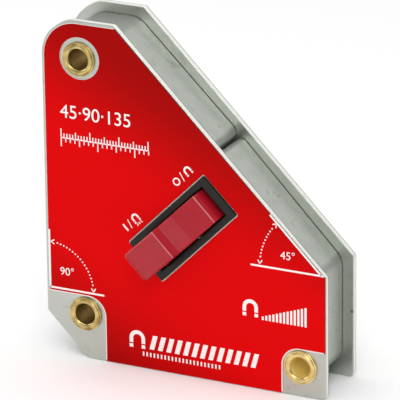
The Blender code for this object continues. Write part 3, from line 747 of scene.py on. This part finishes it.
# Switch housing: an open cup of black ABS, moulded in one with the lip that laps over the
# front plate. It snaps into the plate's window and carries the rocker's pin.
OPENING = (30.8, 11.2)
OPENING_CHAMFER = 0.3
CUP_DEPTH = 9.0
LIP_TOP = 1.1
LIP_ROUND = 0.35
ROUND_STEPS = 4

# Spark-eroded black ABS: very dark, faintly green, with a fine even texture and soft sheen.
black_abs, tree, spot = new_finish("spark_eroded_black_abs")
# Real spark texture is about 0.05 mm: drawn at 0.25 mm to show.
sparks = add_node(tree, "TexNoise", {"Vector": spot, "Scale": 1 / (0.25 * MM), "Detail": 2.0})
black = add_node(tree, "Mix", {0: sparks.outputs["Fac"], 6: colour("#080A06"), 7: colour("#14160F")},
                 data_type="RGBA")
texture = add_node(tree, "Bump", {"Height": sparks.outputs["Fac"], "Strength": 0.35, "Distance": 0.03 * MM})
moulding = add_node(tree, "BsdfPrincipled", {"Base Color": black.outputs[2], "Roughness": 0.45,
                                             "IOR": 1.53, "Specular IOR Level": 0.30,
                                             "Normal": texture.outputs[0]})
add_node(tree, "OutputMaterial", {"Surface": moulding.outputs[0]})

# The wall of the housing, followed from the foot of the cup over the lip and down inside.
walls = [(CUP, SEAT), (LIP, SEAT)]
for step in range(ROUND_STEPS + 1):
    angle = math.pi / 2 * step / ROUND_STEPS
    pulled_in = 2 * LIP_ROUND * (1 - math.cos(angle))
    walls.append(([side - pulled_in for side in LIP], LIP_TOP - LIP_ROUND * (1 - math.sin(angle))))
walls += [([side + 2 * OPENING_CHAMFER for side in OPENING], LIP_TOP),
          (OPENING, LIP_TOP - OPENING_CHAMFER), (OPENING, -CUP_DEPTH), (CUP, -CUP_DEPTH)]
shape = bmesh.new()
half_u, half_v = CUP[0] / 2, CUP[1] / 2
edges = draw_loop(shape, [(-half_u, -half_v, CUP_ROUND), (half_u, -half_v, CUP_ROUND),
                          (half_u, half_v, CUP_ROUND), (-half_u, half_v, CUP_ROUND)])
bmesh.ops.translate(shape, verts=shape.verts, vec=(0, 0, -CUP_DEPTH))
size, height = CUP, -CUP_DEPTH
for next_size, next_height in walls:
    drawn_out = bmesh.ops.extrude_edge_only(shape, edges=edges)["geom"]
    moved = {item for item in drawn_out if isinstance(item, bmesh.types.BMVert)}
    edges = [edge for edge in shape.edges if moved.issuperset(edge.verts)]
    bmesh.ops.scale(shape, verts=list(moved), vec=(next_size[0] / size[0], next_size[1] / size[1], 1))
    bmesh.ops.translate(shape, verts=list(moved), vec=(0, 0, next_height - height))
    size, height = next_size, next_height
bmesh.ops.remove_doubles(shape, verts=shape.verts, dist=MERGE)
bmesh.ops.recalc_face_normals(shape, faces=shape.faces)
housing = place_piece("switch_housing", shape, SWITCH, black_abs)
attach(housing, "root")
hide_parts("switch_bezel")

# Rocker: glossy maroon ABS, moulded in one piece with a raised finger paddle over its left
# end, skirts that close the opening as it tips, and a fork below that drives the carriage.
PIVOT_HEIGHT = (PLATES.inverted() @ ((pin_low + pin_high) / 2)).z
ROCKER_WIDTH = 10.5
ROCKER_RIM = 0.4
PIN_BORE = 1.1
SKIRT_OUTER = 14.2             # radii of the skirts, about the pivot
SKIRT_INNER = 12.6
ARC_STEPS = 8
FORK_LEAN = math.radians(-103)
FORK_SLOT = 1.12               # half widths of the slot and of the fork
FORK_OUTER = 2.3
FORK_ROOT = 4.0                # distances from the pivot, down the fork
FORK_SLOT_END = 7.3
FORK_REACH = 10.4
STEP = (-3.9, 9.1)             # upper edge of the paddle's step
RIDGE = (12.1, 3.2)            # far end of the ramp
END_START = -14.2              # the paddle's end is rounded to the left of this
END_ROUND = 1.5
PADDLE_FOOT = 8.0              # the paddle stands above this height
HIGHLIGHT_REACH = 0.30            # how far a painted highlight reaches round a corner


def arc_corners(radius, start, end):
    """Points on an arc about the pivot, given by angles in degrees."""
    angles = [math.radians(start + (end - start) * step / ARC_STEPS) for step in range(ARC_STEPS + 1)]
    return [(radius * math.cos(angle), PIVOT_HEIGHT + radius * math.sin(angle), 0) for angle in angles]


def fork_corner(offset, reach):
    """A corner of the fork, across and along its leaning axis."""
    place = Matrix.Rotation(FORK_LEAN, 2) @ Vector((reach, offset))
    return (place.x, PIVOT_HEIGHT + place.y, 0)


# Glossy maroon ABS: wine red with a polished skin, very slightly wavy from the mould, and
# hairline scratches that dull it where fingers push.
maroon_abs, tree, spot = new_finish("polished_maroon_abs")
waves = add_node(tree, "TexNoise", {"Vector": spot, "Scale": 1 / (4 * MM), "Detail": 2.0})
scratch_lines = add_node(tree, "Mapping", {"Vector": spot, "Rotation": (0.0, math.radians(45), 0.0),
                                           "Scale": (1 / (5 * MM), 1 / (0.3 * MM), 1 / (0.3 * MM))})
scratches = add_node(tree, "TexNoise", {"Vector": scratch_lines.outputs[0], "Scale": 1.0, "Detail": 3.0})
wine = add_node(tree, "Mix", {0: waves.outputs["Fac"], 6: colour("#9A1220"), 7: colour("#AE1626")},
                data_type="RGBA")
polish = add_node(tree, "MapRange", {"Value": scratches.outputs["Fac"], "From Min": 0.35, "From Max": 0.75,
                                     "To Min": 0.16, "To Max": 0.34})
wavy = add_node(tree, "Bump", {"Height": waves.outputs["Fac"], "Strength": 0.15, "Distance": 0.1 * MM})
skin = add_node(tree, "BsdfPrincipled", {"Base Color": wine.outputs[2], "Roughness": polish.outputs[0],
                                         "IOR": 1.53, "Specular IOR Level": 0.24,
                                         "Normal": wavy.outputs[0]})
add_node(tree, "OutputMaterial", {"Surface": skin.outputs[0]})

# Painted highlights: the same ABS painted pale and smooth along the edges that catch the light.
painted_highlight_abs, tree, spot = new_finish("highlight_painted_maroon_abs")
highlight_patches = add_node(tree, "TexNoise", {"Vector": spot, "Scale": 1 / (1.5 * MM), "Detail": 4.0})
# Painted highlight: the pale pink stands in for light caught on the rounded edges.
highlight_colour = add_node(tree, "Mix", {0: highlight_patches.outputs["Fac"], 6: colour("#9C1C2C"), 7: colour("#DC7C86")},
                data_type="RGBA")
highlight_skin = add_node(tree, "BsdfPrincipled", {"Base Color": highlight_colour.outputs[2], "Roughness": 0.25, "IOR": 1.53})
add_node(tree, "OutputMaterial", {"Surface": highlight_skin.outputs[0]})

# The rocker from the side: over the top from the far end to the paddle's end, then the left
# skirt, the boss round the pin, the fork and the right skirt.
rocker_corners = [
    (12.9, 1.9, 0.5),
    (*RIDGE, 0.5),
    (2.7, 4.9, 2.0),
    (-2.4, 6.5, 0.6),
    (*STEP, 0.5),
    (-15.3, 12.98, 0.9),
    (-15.4, 9.75, 0.8),
    (-10.9, 7.4, 0),
    *arc_corners(SKIRT_OUTER, 140, 190),
    *arc_corners(SKIRT_INNER, 190, 150),
    (-2.9, 4.0, 0.8),
    (-2.9, -3.0, 1.5),
    fork_corner(-FORK_OUTER, FORK_ROOT),
    fork_corner(-FORK_OUTER, FORK_REACH),
    fork_corner(-FORK_SLOT, FORK_REACH),
    fork_corner(-FORK_SLOT, FORK_SLOT_END),
    fork_corner(FORK_SLOT, FORK_SLOT_END),
    fork_corner(FORK_SLOT, FORK_REACH),
    fork_corner(FORK_OUTER, FORK_REACH),
    fork_corner(FORK_OUTER, FORK_ROOT),
    (2.9, -4.0, 1.5),
    (3.2, 2.6, 0.8),
    *arc_corners(SKIRT_INNER, 22, -30),
    *arc_corners(SKIRT_OUTER, -30, 20),
]
shape = bmesh.new()
draw_loop(shape, rocker_corners)
draw_hole(shape, (0, PIVOT_HEIGHT), PIN_BORE, 24)
raise_sheet(shape, -ROCKER_WIDTH / 2, ROCKER_WIDTH / 2, ROCKER_RIM)
# The paddle's end is cut near its sides, so that it can be rounded off towards them.
for cut in (0.0, 0.45, 0.8):
    for side in (-1, 1):
        bmesh.ops.bisect_plane(shape, geom=shape.verts[:] + shape.edges[:] + shape.faces[:],
                               plane_co=(0, 0, side * (ROCKER_WIDTH / 2 - END_ROUND * (1 - cut))),
                               plane_no=(0, 0, 1))
for vert in shape.verts:
    if vert.co.x < END_START:
        over = max(0.0, abs(vert.co.z) - ROCKER_WIDTH / 2 + END_ROUND) / END_ROUND
        vert.co.x += END_ROUND * (1 - math.sqrt(1 - min(over, 0.97) ** 2))
# Painted highlights go on the paddle's step, on the far end of the ramp and along the paddle's upper left
# rim.
shape.normal_update()
for face in shape.faces:
    middle = face.calc_center_median()
    at_corner = any((middle.xy - Vector(corner)).length < HIGHLIGHT_REACH for corner in (STEP, RIDGE))
    on_paddle = middle.x < STEP[0] and middle.y > PADDLE_FOOT and middle.z < 0
    on_rim = 0.2 < -face.normal.z < 0.98
    face.material_index = int(at_corner or (on_paddle and on_rim))
side_view = Matrix.Rotation(math.pi / 2, 4, "X")
rocker = place_piece("rocker_lever", shape, SWITCH @ side_view, maroon_abs, painted_highlight_abs)
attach(rocker, "rocker")
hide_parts("rocker")

# Studio: a plain white floor, an even white surround and five soft lights. The largest hangs
# overhead, a small key light is high on the right, and three fill from the left, the front and
# the back.
floor_finish, tree, spot = new_finish("matt_white_studio_floor")
paper = add_node(tree, "TexNoise", {"Vector": spot, "Scale": 1 / (2 * MM), "Detail": 2.0})
white = add_node(tree, "Mix", {0: paper.outputs["Fac"], 6: colour("#F4F4F4"), 7: colour("#F8F8F8")},
                 data_type="RGBA")
surface = add_node(tree, "BsdfPrincipled", {"Base Color": white.outputs[2], "Roughness": 0.9,
                                            "Specular IOR Level": 0.1})
add_node(tree, "OutputMaterial", {"Surface": surface.outputs[0]})
FLOOR_REACH = 4.0
shape = bmesh.new()
bmesh.ops.create_grid(shape, x_segments=1, y_segments=1, size=FLOOR_REACH)
floor_mesh = bpy.data.meshes.new("studio_floor")
shape.to_mesh(floor_mesh)
shape.free()
floor_mesh.materials.append(floor_finish)
floor = bpy.data.objects.new("studio_floor", floor_mesh)
bpy.context.scene.collection.objects.link(floor)

world = bpy.data.worlds.new("studio")
world.use_nodes = True
world.node_tree.nodes["Background"].inputs["Color"].default_value = (1.0, 1.0, 1.0, 1.0)
world.node_tree.nodes["Background"].inputs["Strength"].default_value = 0.5
bpy.context.scene.world = world
bpy.context.scene.view_settings.view_transform = "Standard"

MIDDLE = Vector((0, 0, HEIGHT * MM / 2))
for name, direction, distance, size, power in (
        ("top_light", (0.0, 0.0, 1.0), 1.0, 1.2, 6.5),
        ("key_light", (0.36, -0.66, 0.58), 0.9, 0.36, 2.1),
        ("left_light", (-1.0, -0.12, 0.42), 1.2, 0.5, 3.4),
        ("front_light", (0.03, -1.0, 0.12), 1.5, 0.45, 1.2),
        ("back_light", (0.35, 0.84, 0.42), 1.2, 0.7, 1.0)):
    lamp = bpy.data.lights.new(name, "AREA")
    lamp.size = size
    lamp.energy = power
    light = bpy.data.objects.new(name, lamp)
    away = Vector(direction).normalized()
    light.location = MIDDLE + away * distance
    light.rotation_euler = away.to_track_quat("Z", "Y").to_euler()
    light.visible_camera = False
    bpy.context.scene.collection.objects.link(light)

# Camera: a long lens, a little above the workpiece and to its right.
AIM = Vector((2.35, 1.45, 56.18)) * MM
CAMERA_DISTANCE = 1305.97 * MM
AZIMUTH = math.radians(26.39)
ELEVATION = math.radians(20.54)
CAMERA_ROLL = math.radians(-0.66)
camera_data = bpy.data.cameras.new("camera")
camera_data.lens = 383.57
camera_data.sensor_width = 36.0
camera = bpy.data.objects.new("camera", camera_data)
away = Vector((math.sin(AZIMUTH) * math.cos(ELEVATION), -math.cos(AZIMUTH) * math.cos(ELEVATION),
               math.sin(ELEVATION)))
camera.matrix_world = (Matrix.Translation(AIM + away * CAMERA_DISTANCE)
                       @ away.to_track_quat("Z", "Y").to_matrix().to_4x4()
                       @ Matrix.Rotation(CAMERA_ROLL, 4, "Z"))
bpy.context.scene.collection.objects.link(camera)
bpy.context.scene.camera = camera
